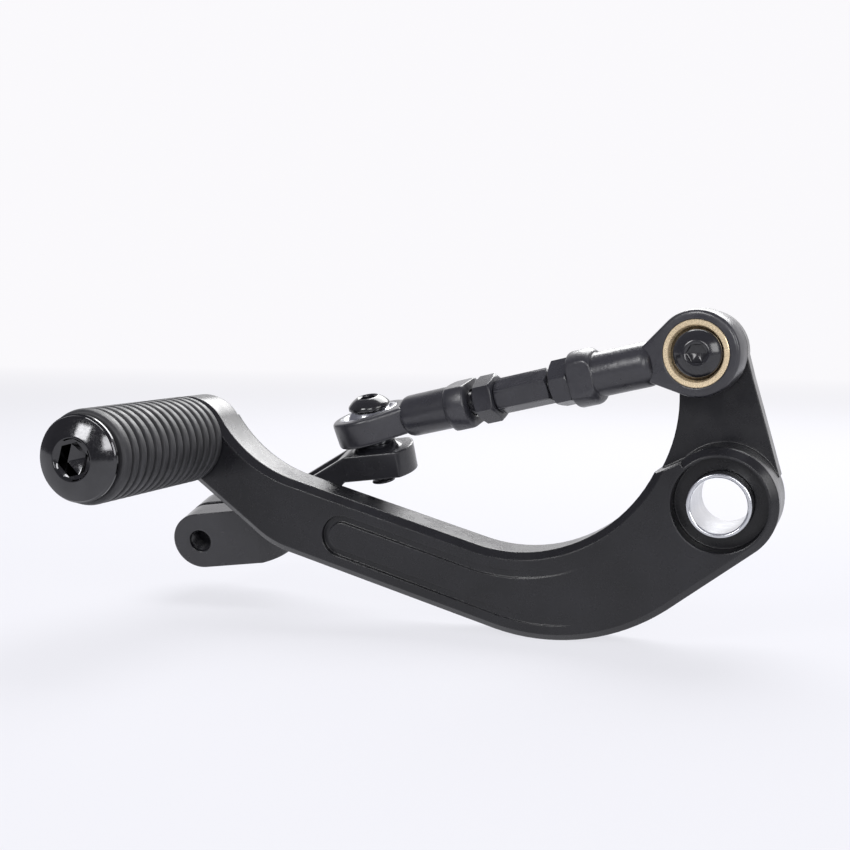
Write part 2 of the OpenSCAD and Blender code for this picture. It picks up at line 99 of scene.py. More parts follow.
def span(node, origin, axis):
    """How far a CAD node reaches along an axis from the origin: lowest and highest."""
    item = frame["nodes"][node]
    points = np.zeros(len(item.data.vertices) * 3)
    item.data.vertices.foreach_get("co", points)
    world = points.reshape(-1, 3) @ np.array(item.matrix_world)[:3, :3].T + np.array(item.matrix_world)[:3, 3]
    along = (world - np.asarray(origin)) @ np.asarray(axis)
    return along.min(), along.max()


def spun(x_axis, z_axis, degrees):
    """x_axis turned about z_axis."""
    a = math.radians(degrees)
    return math.cos(a) * np.asarray(x_axis) + math.sin(a) * np.cross(z_axis, x_axis)


def middle(node):
    low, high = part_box(node)
    return (np.array(low) + np.array(high)) / 2


# Sizes and colours

class ShifterSizes(bpy.types.PropertyGroup):
    """Sizes of the surfaces that are finer than the solid model."""
    ring_count: bpy.props.IntProperty(
        name="Rings", description="Rings on the peg's rubber", default=13, min=4, max=24)
    ring_groove: bpy.props.FloatProperty(
        name="Ring groove", description="Depth of the grooves between the rings",
        default=1.1 * MM, unit="LENGTH")
    band: bpy.props.FloatProperty(
        name="End band", description="Width of the smooth band at the rubber's outer end",
        default=2.8 * MM, unit="LENGTH")
    pitch: bpy.props.FloatProperty(
        name="Thread pitch", description="Pitch of the M6 threads", default=1 * MM, unit="LENGTH")
    thread_depth: bpy.props.FloatProperty(
        name="Thread depth", description="Depth of the M6 threads", default=0.5 * MM, unit="LENGTH")
    screw_r: bpy.props.FloatProperty(
        name="Screw radius", description="Crest radius of the M6 threads", default=2.95 * MM,
        unit="LENGTH")
    button_r: bpy.props.FloatProperty(
        name="Button radius", description="Radius of the button heads", default=5.25 * MM, unit="LENGTH")
    button_h: bpy.props.FloatProperty(
        name="Button height", description="Height of the button heads", default=3.3 * MM, unit="LENGTH")
    button_hex: bpy.props.FloatProperty(
        name="Button socket", description="Across flats of the button heads' sockets", default=4 * MM,
        unit="LENGTH")
    nut_hex: bpy.props.FloatProperty(
        name="Nut", description="Across flats of the nuts", default=10 * MM, unit="LENGTH")
    rod_hex: bpy.props.FloatProperty(
        name="Rod", description="Across flats of the link rod", default=7.5 * MM, unit="LENGTH")
    upper_thread: bpy.props.FloatProperty(
        name="Bare thread", description="Thread that shows between the upper nut and the rod",
        default=1 * MM, unit="LENGTH")
    race_r: bpy.props.FloatProperty(
        name="Race radius", description="Outer radius of the race rings", default=7.45 * MM, unit="LENGTH")
    head_half: bpy.props.FloatProperty(
        name="Head", description="Half the thickness of the rod ends' heads", default=3.375 * MM,
        unit="LENGTH")
    neck_x: bpy.props.FloatProperty(
        name="Neck", description="From the ball's centre to where the head meets the shank",
        default=11.6 * MM, unit="LENGTH")
    shank_r: bpy.props.FloatProperty(
        name="Shank", description="Radius of the rod ends' shanks", default=5.1 * MM, unit="LENGTH")
    collar_r: bpy.props.FloatProperty(
        name="Collar", description="Radius of the rod ends' collars", default=6.6 * MM, unit="LENGTH")
    collar_flats: bpy.props.FloatProperty(
        name="Collar flats", description="Width across the collars' flats", default=10.6 * MM, unit="LENGTH")
    collar_len: bpy.props.FloatProperty(
        name="Collar length", description="Length of the collars", default=5 * MM, unit="LENGTH")
    dome_rim: bpy.props.FloatProperty(
        name="Dome rim", description="Radius of the round rim of the dome bolt's socket",
        default=4.6 * MM, unit="LENGTH")
    dome_hex: bpy.props.FloatProperty(
        name="Dome socket", description="Across flats of the dome bolt's socket", default=6.8 * MM,
        unit="LENGTH")
    soft_edge: bpy.props.FloatProperty(
        name="Soft edge", description="Radius that the finish shows along sharp edges",
        default=0.5 * MM, unit="LENGTH")


class ShifterColours(bpy.types.PropertyGroup):
    """Colours of the finishes and of the stage."""
    lever: bpy.props.FloatVectorProperty(
        name="Lever", description="Satin black coat", default=(0.0075, 0.0075, 0.0090),
        subtype="COLOR", size=3, min=0, max=1)
    joint: bpy.props.FloatVectorProperty(
        name="Joints", description="Satin black of rod ends and nuts", default=(0.019, 0.019, 0.023),
        subtype="COLOR", size=3, min=0, max=1)
    crank: bpy.props.FloatVectorProperty(
        name="Crank", description="Gloss black of the crank", default=(0.0160, 0.0160, 0.0185),
        subtype="COLOR", size=3, min=0, max=1)
    rubber: bpy.props.FloatVectorProperty(
        name="Rubber", description="Black rubber", default=(0.022, 0.022, 0.024),
        subtype="COLOR", size=3, min=0, max=1)
    brass: bpy.props.FloatVectorProperty(
        name="Race", description="Pale brass of the upper race", default=(0.86, 0.70, 0.46),
        subtype="COLOR", size=3, min=0, max=1)
    steel: bpy.props.FloatVectorProperty(
        name="Bright steel", description="Turned steel of the bush", default=(0.62, 0.63, 0.66),
        subtype="COLOR", size=3, min=0, max=1)
    nickel: bpy.props.FloatVectorProperty(
        name="Black nickel", description="Plated dome bolt", default=(0.085, 0.085, 0.088),
        subtype="COLOR", size=3, min=0, max=1)
    backdrop: bpy.props.FloatVectorProperty(
        name="Backdrop", description="Floor and backdrop", default=(0.90, 0.90, 0.95),
        subtype="COLOR", size=3, min=0, max=1)


# Surfaces

def softened(profile, cut, steps=4):
    """Each inner corner of the profile becomes a parabola that leaves the two sides at the distance
    cut from the corner, or at 0.45 of a shorter side. All columns follow the same weights."""
    p = np.array(profile, float)
    corner, before, after = p[1:-1], p[:-2], p[2:]
    to_before = before - corner
    to_after = after - corner
    len_b = np.maximum(np.hypot(to_before[:, 0], to_before[:, 1]), 1e-9)
    len_a = np.maximum(np.hypot(to_after[:, 0], to_after[:, 1]), 1e-9)
    reach = np.minimum(cut, 0.45 * np.minimum(len_b, len_a))
    start = corner + to_before * (reach / len_b)[:, None]
    end = corner + to_after * (reach / len_a)[:, None]
    t = np.linspace(0, 1, steps)[None, :, None]
    arcs = (1 - t) ** 2 * start[:, None] + 2 * t * (1 - t) * corner[:, None] + t ** 2 * end[:, None]
    return np.vstack([p[:1], arcs.reshape(-1, p.shape[1]), p[-1:]])


def station(radius, height, hexed=0.0, cap=1.0, thread=0.0, flats=1.0):
    """One row of a turned profile: radius, height, how far it is a hexagon (0 to 1), the radius that
    the hexagon's corners are turned down to, the thread's depth, and half the width between two
    flats that are square to the second axis."""
    return [radius, height, hexed, cap, thread, flats]


def turned(profile, pitch=1 * MM, steps=RING_STEPS):
    """Points of a turned surface. At angle a the radius is the profile's, times the hexagon's
    cos(30) / cos(a mod 60 - 30) as far as the row is hexagonal, no more than the cap or than
    flats / sin(a), less the thread's depth times a triangle wave of height / pitch - a / 360
    degrees."""
    p = np.asarray(profile, float)
    a = np.linspace(0, 2 * math.pi, steps, endpoint=False)[None, :]
    radius, height, hexed, cap, thread, flats = (p[:, [k]] for k in range(6))
    six = math.cos(math.pi / 6) / np.cos(np.mod(a, math.pi / 3) - math.pi / 6)
    r = np.minimum(radius * (1 - hexed + hexed * six), cap)
    r = np.minimum(r, flats / np.maximum(np.abs(np.sin(a)), 1e-6))
    wave = np.abs(2 * np.mod(height / pitch - a / (2 * math.pi), 1) - 1)
    r = r - thread * wave
    return np.stack([r * np.cos(a), r * np.sin(a), np.broadcast_to(height, r.shape)], axis=-1)


def arc(centre, radius, start, end, count=7):
    """Rows [radius, height] on a circle round centre, from one angle in degrees to another."""
    a = np.radians(np.linspace(start, end, count))
    return np.stack([centre[0] + radius * np.cos(a), centre[1] + radius * np.sin(a)], axis=1)


def thread_rows(low, high, radius, depth, pitch):
    """Rows of a thread from low to high, eight to a turn, that starts and ends in a chamfer."""
    z = np.arange(low, high, pitch / 8)
    fade = np.clip(np.minimum(z - low, high - z) / pitch, 0, 1)
    return [station(radius, at, thread=depth * share) for at, share in zip(z, fade)]


def nut_rows(bore, flats, thick):
    """A hexagon nut with both faces chamfered: a closed profile, for mesh_of's closed rings."""
    corner = flats / math.sqrt(3)
    face = 0.485 * flats
    drop = (corner - face) * math.tan(math.radians(30))
    rows = [station(bore, 0.5 * MM), station(bore + 0.45 * MM, 0.0), station(face, 0.0)]
    for t in (0.12, 0.3, 0.5, 0.75, 1.0):
        rows.append(station(corner, t * drop, 1.0, face + t * (corner - face)))
    for t in (1.0, 0.75, 0.5, 0.3, 0.12):
        rows.append(station(corner, thick - t * drop, 1.0, face + t * (corner - face)))
    rows += [station(face, thick), station(bore + 0.45 * MM, thick), station(bore, thick - 0.5 * MM)]
    return rows


def button_rows(length, shank, head, height, flats, depth, pitch):
    """A button head screw: threaded shank below 0, domed head above, hexagon socket in its top."""
    tall = height - 0.5 * MM
    ball = (head ** 2 + tall ** 2) / (2 * tall) * 1.04
    centre = height + 0.08 * MM - ball
    rows = [station(0.05 * MM, -length), station(shank - 0.7 * MM, -length)]
    rows += thread_rows(-length, -0.5 * MM, shank, depth, pitch)
    rows += [station(shank, -0.4 * MM), station(shank, 0), station(head - 0.15 * MM, 0),
             station(head, 0.12 * MM), station(head, 0.38 * MM)]
    rim = 0.62 * flats
    for r in np.linspace(head - 0.08 * MM, rim + 0.25 * MM, 9):
        rows.append(station(r, centre + math.sqrt(ball ** 2 - r ** 2)))
    top = rows[-1][1]
    corner = flats / math.sqrt(3)
    rows += [station(rim + 0.1 * MM, top - 0.03 * MM), station(rim, top - 0.15 * MM),
             station(corner, top - 0.32 * MM, 1.0), station(corner, height - 2.0 * MM, 1.0),
             station(0.8 * corner, height - 2.3 * MM, 0.6), station(0.03 * MM, height - 2.6 * MM)]
    return rows


def head_grid(sizes, head_r, steps=192):
    """A rod end's flat head round its ball's axis. At angle a the outside lies at the head's radius,
    and on the shank's side on two lines tangent to it, radius / cos(|a| - neck), cut off square at
    the neck's length. The rows run round the section, from the bore out and back."""
    a = np.linspace(-math.pi, math.pi, steps, endpoint=False)
    neck = math.radians(58.8)
    rim = np.where(np.abs(a) < neck, head_r / np.cos(np.abs(a) - neck), head_r)
    rim = np.minimum(rim, (sizes.neck_x + 0.3 * MM) / np.maximum(np.cos(a), 1e-3))
    bore = np.full_like(a, sizes.race_r)
    h, c = sizes.head_half, 0.9 * MM
    t = np.radians(np.linspace(0, 90, 5))
    rows = [(bore, h - 0.15 * MM), (bore + 0.15 * MM, h), (rim - 2.2 * c, h)]
    rows += [(rim - c + c * np.sin(k), h - c + c * np.cos(k)) for k in t]
    rows += [(rim - c + c * np.cos(k), -h + c - c * np.sin(k)) for k in t]
    rows += [(rim - 2.2 * c, -h), (bore + 0.15 * MM, -h), (bore, -h + 0.15 * MM)]
    return np.stack([np.stack([r * np.cos(a), r * np.sin(a), np.full_like(a, z)], axis=-1)
                     for r, z in rows])


def shank_rows(sizes, reach):
    """A rod end's shank along its own axis: rounded shoulder, round shank, collar with two flats."""
    r, collar, half = sizes.shank_r, sizes.collar_r, sizes.collar_flats / 2
    start, long = sizes.neck_x, sizes.collar_len
    t = np.radians(np.linspace(0, 90, 7))
    rows = [station(0.05 * MM, start - 1.6 * MM), station(r - 2.6 * MM, start - 1.6 * MM)]
    rows += [station(r - 1.9 * MM * (1 - math.sin(k)), start + 1 * MM - 2.4 * MM * math.cos(k)) for k in t]
    rows += [station(r, reach - long - 1.2 * MM)]
    rows += [station(r + (collar - r) * math.sin(k), reach - long + 0.8 * MM - 1.8 * MM * math.cos(k),
                     flats=half) for k in t]
    rows += [station(collar, reach - 0.6 * MM, flats=half), station(collar - 0.15 * MM, reach - 0.2 * MM, flats=half),
             station(collar - 0.5 * MM, reach, flats=half), station(3.5 * MM, reach, flats=half),
             station(3.05 * MM, reach - 0.4 * MM), station(3.05 * MM, reach - 1.5 * MM),
             station(0.05 * MM, reach - 1.5 * MM)]
    return rows


def race_rows(sizes, face):
    """A race ring: flat faces from its outside in to the radius face, flared mouths, hollow inside."""
    h, outer = sizes.head_half + 0.03 * MM, sizes.race_r - 0.02 * MM
    half = [(outer, h - 0.12 * MM), (outer - 0.12 * MM, h), (face + 0.06 * MM, h), (face, h - 0.06 * MM),
            (face - 0.12 * MM, h - 0.20 * MM), (5.85 * MM, 2.62 * MM), (6.25 * MM, 1.45 * MM)]
    rows = [station(r, z) for r, z in half] + [station(6.41 * MM, 0)]
    return rows + [station(r, -z) for r, z in half[::-1]]


def placed(points, origin, x_axis, z_axis):
    """The points with their own X along x_axis and Z along z_axis, from the origin."""
    axes = np.stack([x_axis, np.cross(z_axis, x_axis), z_axis])
    return np.asarray(points) @ axes + np.asarray(origin)


def mesh_of(name, grid, closed=False):
    """A closed mesh from a grid of rings. Each quad joins two rings; the last ring joins the first
    where closed is set, and otherwise both ends are filled with a fan round their centre."""
    rows, steps = grid.shape[:2]
    index = np.arange(rows * steps).reshape(rows, steps)
    upper = np.roll(index, -1, axis=0) if closed else index[1:]
    lower = index if closed else index[:-1]
    quads = np.stack([lower, np.roll(lower, -1, axis=1), np.roll(upper, -1, axis=1), upper], axis=-1)
    quads = quads.reshape(-1, 4)
    points = grid.reshape(-1, 3)
    fans = []
    if not closed:
        centres = np.stack([grid[0].mean(axis=0), grid[-1].mean(axis=0)])
        points = np.vstack([points, centres])
        first, last = rows * steps, rows * steps + 1
        ring, far = index[0], index[-1]
        fans = [np.stack([np.full(steps, first), np.roll(ring, -1), ring], axis=-1),
                np.stack([np.full(steps, last), far, np.roll(far, -1)], axis=-1)]
    faces = quads.tolist() + [row for fan in fans for row in fan.tolist()]
    mesh = bpy.data.meshes.new(name)
    mesh.from_pydata(points.tolist(), [], faces)
    mesh.validate()
    mesh.polygons.foreach_set("use_smooth", np.ones(len(mesh.polygons), bool))
    mesh.set_sharp_from_angle(angle=math.radians(38))
    mesh.update()
    return mesh


def outward(mesh):
    """Turns all faces round if the mesh's signed volume is negative."""
    mesh.calc_loop_triangles()
    tri = np.zeros(len(mesh.loop_triangles) * 3, np.int32)
    mesh.loop_triangles.foreach_get("vertices", tri)
    co = np.zeros(len(mesh.vertices) * 3)
    mesh.vertices.foreach_get("co", co)
    corner = co.reshape(-1, 3)[tri.reshape(-1, 3)]
    volume = np.einsum("ij,ij->i", corner[:, 0], np.cross(corner[:, 1], corner[:, 2])).sum()
    if volume < 0:
        mesh.flip_normals()


def add_piece(name, grid, body, finish, replaces=(), closed=False):
    mesh = mesh_of(name, grid, closed)
    outward(mesh)
    piece = bpy.data.objects.new(name, mesh)
    bpy.context.scene.collection.objects.link(piece)
    mesh.materials.append(finish)
    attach(piece, body)
    if replaces:
        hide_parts(*replaces)
    return piece


# Finishes

class Finish:
    """A node material on Object coordinates, with a Principled shader and soft edges."""

    def __init__(self, name, edge=0.0):
        self.material = bpy.data.materials.new(name)
        self.material.use_nodes = True
        self.tree = self.material.node_tree
        self.tree.nodes.clear()
        self.out = self.add("ShaderNodeOutputMaterial")
        self.shader = self.add("ShaderNodeBsdfPrincipled")
        self.link(self.shader.outputs[0], self.out.inputs["Surface"])
        self.place = self.add("ShaderNodeTexCoord").outputs["Object"]
        self.normal = None
        if edge:
            bevel = self.add("ShaderNodeBevel", samples=8)
            bevel.inputs["Radius"].default_value = edge
            self.normal = bevel.outputs["Normal"]
            self.link(self.normal, self.shader.inputs["Normal"])

    def add(self, kind, **settings):
        node = self.tree.nodes.new(kind)
        for key, value in settings.items():
            setattr(node, key, value)
        return node

    def link(self, a, b):
        self.tree.links.new(a, b)

    def set(self, **values):
        for key, value in values.items():
            self.shader.inputs[key.replace("_", " ")].default_value = value

    def noise(self, scale, detail=4.0, rough=0.55, stretch=None):
        node = self.add("ShaderNodeTexNoise")
        node.inputs["Scale"].default_value = scale
        node.inputs["Detail"].default_value = detail
        node.inputs["Roughness"].default_value = rough
        place = self.place
        if stretch:
            mapping = self.add("ShaderNodeMapping")
            mapping.inputs["Scale"].default_value = stretch
            self.link(place, mapping.inputs["Vector"])
            place = mapping.outputs["Vector"]
        self.link(place, node.inputs["Vector"])
        return node.outputs["Fac"]

    def ramp(self, value, low, high, to_low, to_high):
        node = self.add("ShaderNodeMapRange", clamp=True)
        self.link(value, node.inputs["Value"])
        for key, number in (("From Min", low), ("From Max", high), ("To Min", to_low), ("To Max", to_high)):
            node.inputs[key].default_value = number
        return node.outputs["Result"]

    def mix(self, factor, a, b):
        node = self.add("ShaderNodeMix", data_type="RGBA")
        self.link(factor, node.inputs["Factor"])
        for key, colour in (("A", a), ("B", b)):
            socket = [s for s in node.inputs if s.name == key and s.type == "RGBA"][0]
            if isinstance(colour, bpy.types.NodeSocket):
                self.link(colour, socket)
            else:
                socket.default_value = (*colour, 1)
        return [s for s in node.outputs if s.type == "RGBA"][0]

    def colour(self, socket):
        self.link(socket, self.shader.inputs["Base Color"])

    def roughness(self, socket):
        self.link(socket, self.shader.inputs["Roughness"])

    def bump(self, height, distance, strength=1.0):
        node = self.add("ShaderNodeBump")
        node.inputs["Distance"].default_value = distance
        node.inputs["Strength"].default_value = strength
        self.link(height, node.inputs["Height"])
        if self.normal is not None:
            self.link(self.normal, node.inputs["Normal"])
        self.normal = node.outputs["Normal"]
        self.link(self.normal, self.shader.inputs["Normal"])


def shade(colour, factor):
    return tuple(min(1.0, c * factor) for c in colour)


def black_coat(name, colour, edge, rough, grain, specular=0.5, coat=0.0, lumps=0.0):
    """Black paint or anodising: faint clouding, a fine orange-peel grain and uneven gloss. With
    lumps, in mm, the surface also has the soft unevenness of a casting."""
    finish = Finish(name, edge)
    finish.set(Metallic=0.0)
    finish.shader.inputs["Specular IOR Level"].default_value = specular
    finish.shader.inputs["Coat Weight"].default_value = coat
    finish.shader.inputs["Coat Roughness"].default_value = 0.08
    cloud = finish.noise(60, detail=5)
    finish.colour(finish.mix(finish.ramp(cloud, 0.35, 0.7, 0, 1), colour, shade(colour, 1.7)))
    patch = finish.noise(220, detail=3)
    finish.roughness(finish.ramp(patch, 0.3, 0.7, rough - 0.05, rough + 0.06))
    if lumps:
        finish.bump(finish.noise(380, detail=2), lumps * MM, 0.6)
    finish.bump(finish.noise(grain, detail=2), 0.02 * MM, 0.35)
    return finish.material


def bright_metal(name, colour, edge, rough, stretch=None, grain=1800, dark=0.8, whole=1.0):
    """Turned or ground metal: fine marks along the tool's path, slightly uneven colour and gloss."""
    finish = Finish(name, edge)
    finish.set(Metallic=whole)
    marks = finish.noise(grain, detail=3, stretch=stretch)
    cloud = finish.noise(120, detail=4)
    finish.colour(finish.mix(finish.ramp(cloud, 0.3, 0.7, 0, 1), colour, shade(colour, dark)))
    finish.roughness(finish.ramp(marks, 0.3, 0.7, rough - 0.05, rough + 0.07))
    finish.bump(marks, 0.01 * MM, 0.4)
    return finish.material


def rubber_finish(name, colour):
    """Moulded rubber: matt, with a fine grain and a greyer bloom in patches."""
    finish = Finish(name)
    finish.set(Metallic=0.0)
    finish.shader.inputs["Specular IOR Level"].default_value = 0.4
    bloom = finish.noise(150, detail=5)
    finish.colour(finish.mix(finish.ramp(bloom, 0.4, 0.75, 0, 1), colour, shade(colour, 1.8)))
    finish.roughness(finish.ramp(finish.noise(400), 0.3, 0.7, 0.42, 0.60))
    finish.bump(finish.noise(2500, detail=3), 0.03 * MM, 0.5)
    return finish.material


def dress(node, finish):
    """Gives a CAD node its finish."""
    mesh = frame["nodes"][node].data
    mesh.materials.clear()
    mesh.materials.append(finish)


# Operators

class SHIFTER_OT_lever(bpy.types.Operator):
    """Finish the lever arm and turn its pivot bush"""
    bl_idname = "shifter.lever"
    bl_label = "Lever and bush"

    def execute(self, context):
        sizes, colours = context.scene.shifter_sizes, context.scene.shifter_colours
        dress("lever_arm", black_coat("lever_satin_black", colours.lever, 1.1 * sizes.soft_edge, 0.27, 3000, 0.40))
        low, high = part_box("pivot_bush")
        outer, length = (high[0] - low[0]) / 2, high[1] - low[1]
        inner = MOUNTS["pivot_bore"]["dims"]["r_mm"] * MM
        c = 0.22 * MM
        rows = [station(outer - 0.02 * MM, c), station(outer - c, 0), station(inner + 0.30 * MM, 0),
                station(inner, 0.30 * MM), station(inner, length - 0.3 * MM),
                station(inner + 0.30 * MM, length), station(outer - c, length),
                station(outer - 0.02 * MM, length - c)]
        centre = middle("pivot_bush")
        grid = placed(turned(softened(rows + rows[:1], 0.12 * MM)[:-1], steps=160),
                      [centre[0], low[1], centre[2]], [1, 0, 0], [0, 1, 0])
        add_piece("turned_bush", grid, "lever", bright_metal("bush_steel", colours.steel, 0, 0.22,
                  stretch=(0.15, 1, 0.15), dark=0.9), ["pivot_bush"], closed=True)
        return {"FINISHED"}


class SHIFTER_OT_peg(bpy.types.Operator):
    """Build the toe peg's ribbed rubber and its dome bolt"""
    bl_idname = "shifter.peg"
    bl_label = "Toe peg"

    def execute(self, context):
        sizes, colours = context.scene.shifter_sizes, context.scene.shifter_colours
        low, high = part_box("toe_peg_rubber")
        centre = middle("toe_peg_rubber")
        origin = [centre[0], high[1], centre[2]]
        outer = (high[0] - low[0]) / 2
        inner = 7 * MM
        length = high[1] - low[1]
        pitch = (length - sizes.band) / sizes.ring_count
        floor = outer - sizes.ring_groove
        rows = [station(inner, 0), station(outer - 0.3 * MM, 0)]
        for k in range(sizes.ring_count):
            at = k * pitch
            rows += [station(outer - 0.12 * MM, at + 0.10 * pitch), station(outer, at + 0.22 * pitch),
                     station(outer, at + 0.56 * pitch), station(outer - 0.12 * MM, at + 0.68 * pitch),
                     station(floor, at + 0.74 * pitch), station(floor, at + 0.98 * pitch)]
        rows += [station(outer - 0.1 * MM, length - sizes.band + 0.1 * MM),
                 station(outer, length - sizes.band + 0.4 * MM), station(outer, length - 1.4 * MM),
                 station(outer - 0.25 * MM, length - 0.5 * MM), station(outer - 0.8 * MM, length),
                 station(inner, length), station(inner, 0)]
        grid = placed(turned(softened(rows, 0.25 * MM)[:-1]), origin, [1, 0, 0], [0, -1, 0])
        add_piece("ribbed_sleeve", grid, "lever", rubber_finish("peg_rubber", colours.rubber),
                  ["toe_peg_rubber"], closed=True)
        self.dome(sizes, colours, centre)
        dress("toe_peg_tube", bright_metal("hidden_steel", (0.5, 0.5, 0.52), 0.2 * MM, 0.35))
        dress("toe_peg_washer", black_coat("washer_black", colours.rubber, 0.1 * MM, 0.5, 3000))
        return {"FINISHED"}

    def dome(self, sizes, colours, centre):
        low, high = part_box("toe_peg_bolt")
        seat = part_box("toe_peg_washer")[0][1]
        length, wide = high[1] - seat, (high[0] - low[0]) / 2
        tall = seat - low[1] - 0.6 * MM
        ball = (wide ** 2 + tall ** 2) / (2 * tall) * 1.12
        centre_z = 0.6 * MM + tall + 0.35 * MM - ball
        shank, corner = 4 * MM, sizes.dome_hex / math.sqrt(3)
        rows = [station(0.05 * MM, -length), station(shank - 0.9 * MM, -length)]
        rows += thread_rows(-length, -length + 8 * MM, shank, 0.6 * MM, 1.25 * MM)
        rows += [station(shank, 0), station(wide - 0.35 * MM, 0), station(wide - 0.30 * MM, 0.30 * MM),
                 station(wide, 0.45 * MM), station(wide, 0.95 * MM), station(wide - 0.28 * MM, 1.20 * MM)]
        for r in np.linspace(wide - 0.42 * MM, sizes.dome_rim + 0.25 * MM, 16):
            rows.append(station(r, centre_z + math.sqrt(ball ** 2 - r ** 2)))
        top = rows[-1][1]
        rows += [station(sizes.dome_rim, top - 0.06 * MM), station(sizes.dome_rim - 0.3 * MM, top - 0.45 * MM),
                 station(corner, top - 0.65 * MM, 1.0), station(corner, top - 4.2 * MM, 1.0),
                 station(0.8 * corner, top - 4.6 * MM, 0.6), station(0.03 * MM, top - 5.2 * MM)]
        grid = placed(turned(rows, 1.25 * MM, steps=144), [centre[0], seat, centre[2]],
                      spun([1, 0, 0], [0, -1, 0], 14), [0, -1, 0])
        add_piece("dome_bolt", grid, "lever", bright_metal("dome_black_nickel", colours.nickel, 0, 0.13, dark=0.7),
                  ["toe_peg_bolt"])


def add_button(name, node, body, origin, x_axis, z_axis, ball_node, sizes, finish):
    """A button head screw, seated just above the ball's flat."""
    seat = span(ball_node, origin, z_axis)[1] + 0.05 * MM
    length = seat - span(node, origin, z_axis)[0]
    rows = button_rows(length, sizes.screw_r, sizes.button_r, sizes.button_h, sizes.button_hex,
                       sizes.thread_depth, sizes.pitch)
    grid = placed(turned(rows, sizes.pitch), np.asarray(origin) + seat * np.asarray(z_axis), x_axis, z_axis)
    add_piece(name, grid, body, finish, [node])


def add_nut(name, node, body, origin, x_axis, z_axis, turn, sizes, finish):
    """A jam nut with chamfered faces between the two ends of its CAD node."""
    low, high = span(node, origin, z_axis)
    rows = nut_rows(sizes.screw_r + 0.05 * MM, sizes.nut_hex, high - low)
    grid = placed(turned(rows), np.asarray(origin) + low * np.asarray(z_axis),
                  spun(x_axis, z_axis, turn), z_axis)
    add_piece(name, grid, body, finish, [node], closed=True)


class SHIFTER_OT_joints(bpy.types.Operator):
    """Finish both ball joints and build their screws"""
    bl_idname = "shifter.joints"
    bl_label = "Ball joints"

    def execute(self, context):
        sizes, colours = context.scene.shifter_sizes, context.scene.shifter_colours
        satin = black_coat("joint_satin_black", colours.joint, sizes.soft_edge, 0.30, 1500, 0.6, lumps=0.16)
        oxide = black_coat("screw_black", shade(colours.joint, 0.5), 0, 0.17, 2600, 0.6)
        for name, origin, along, face in (("upper", UPPER, LINK_X, 6.25 * MM), ("lower", LOWER, -LINK_X, 6.5 * MM)):
            node = name + "_rod_end"
            ball_axis = LINK_Z if name == "upper" else across(CRANK_Z, LINK_X)
            low, reach = span(node, origin, along)
            add_piece(name + "_head", placed(head_grid(sizes, -low - 0.08 * MM), origin, along, ball_axis), "link",
                      satin, [node], closed=True)
            add_piece(name + "_shank", placed(turned(shank_rows(sizes, reach)), origin,
                      np.cross(ball_axis, along), along), "link", satin)
            metal = (bright_metal("race_brass", colours.brass, 0, 0.26, whole=0.6, dark=0.92)
                     if name == "upper" else
                     bright_metal("race_steel", shade(colours.steel, 0.9), 0, 0.28))
            add_piece(name + "_ring", placed(turned(race_rows(sizes, face), steps=144), origin, along,
                      ball_axis), "link", metal,
                      [name + "_race"], closed=True)
        for node in ("upper_joint_spacer", "lower_joint_spacer"):
            dress(node, oxide)
        front = np.array([0.0, -1.0, 0.0])
        add_button("upper_button_screw", "upper_joint_screw", "lever", UPPER, [1, 0, 0], front,
                   "upper_ball", sizes, oxide)
        add_button("lower_button_screw", "lower_joint_screw", "crank", LOWER, spun(CRANK_X, CRANK_Z, 20),
                   CRANK_Z, "lower_ball", sizes, oxide)
        add_nut("eye_nut", "upper_joint_nut", "lever", UPPER, [1, 0, 0], -front, 0, sizes, oxide)
        dress("upper_ball", bright_metal("ball_dark_steel", (0.16, 0.14, 0.12), 0.1 * MM, 0.22))
        dress("lower_ball", bright_metal("ball_bright_steel", shade(colours.steel, 0.9), 0.1 * MM, 0.18))
        return {"FINISHED"}


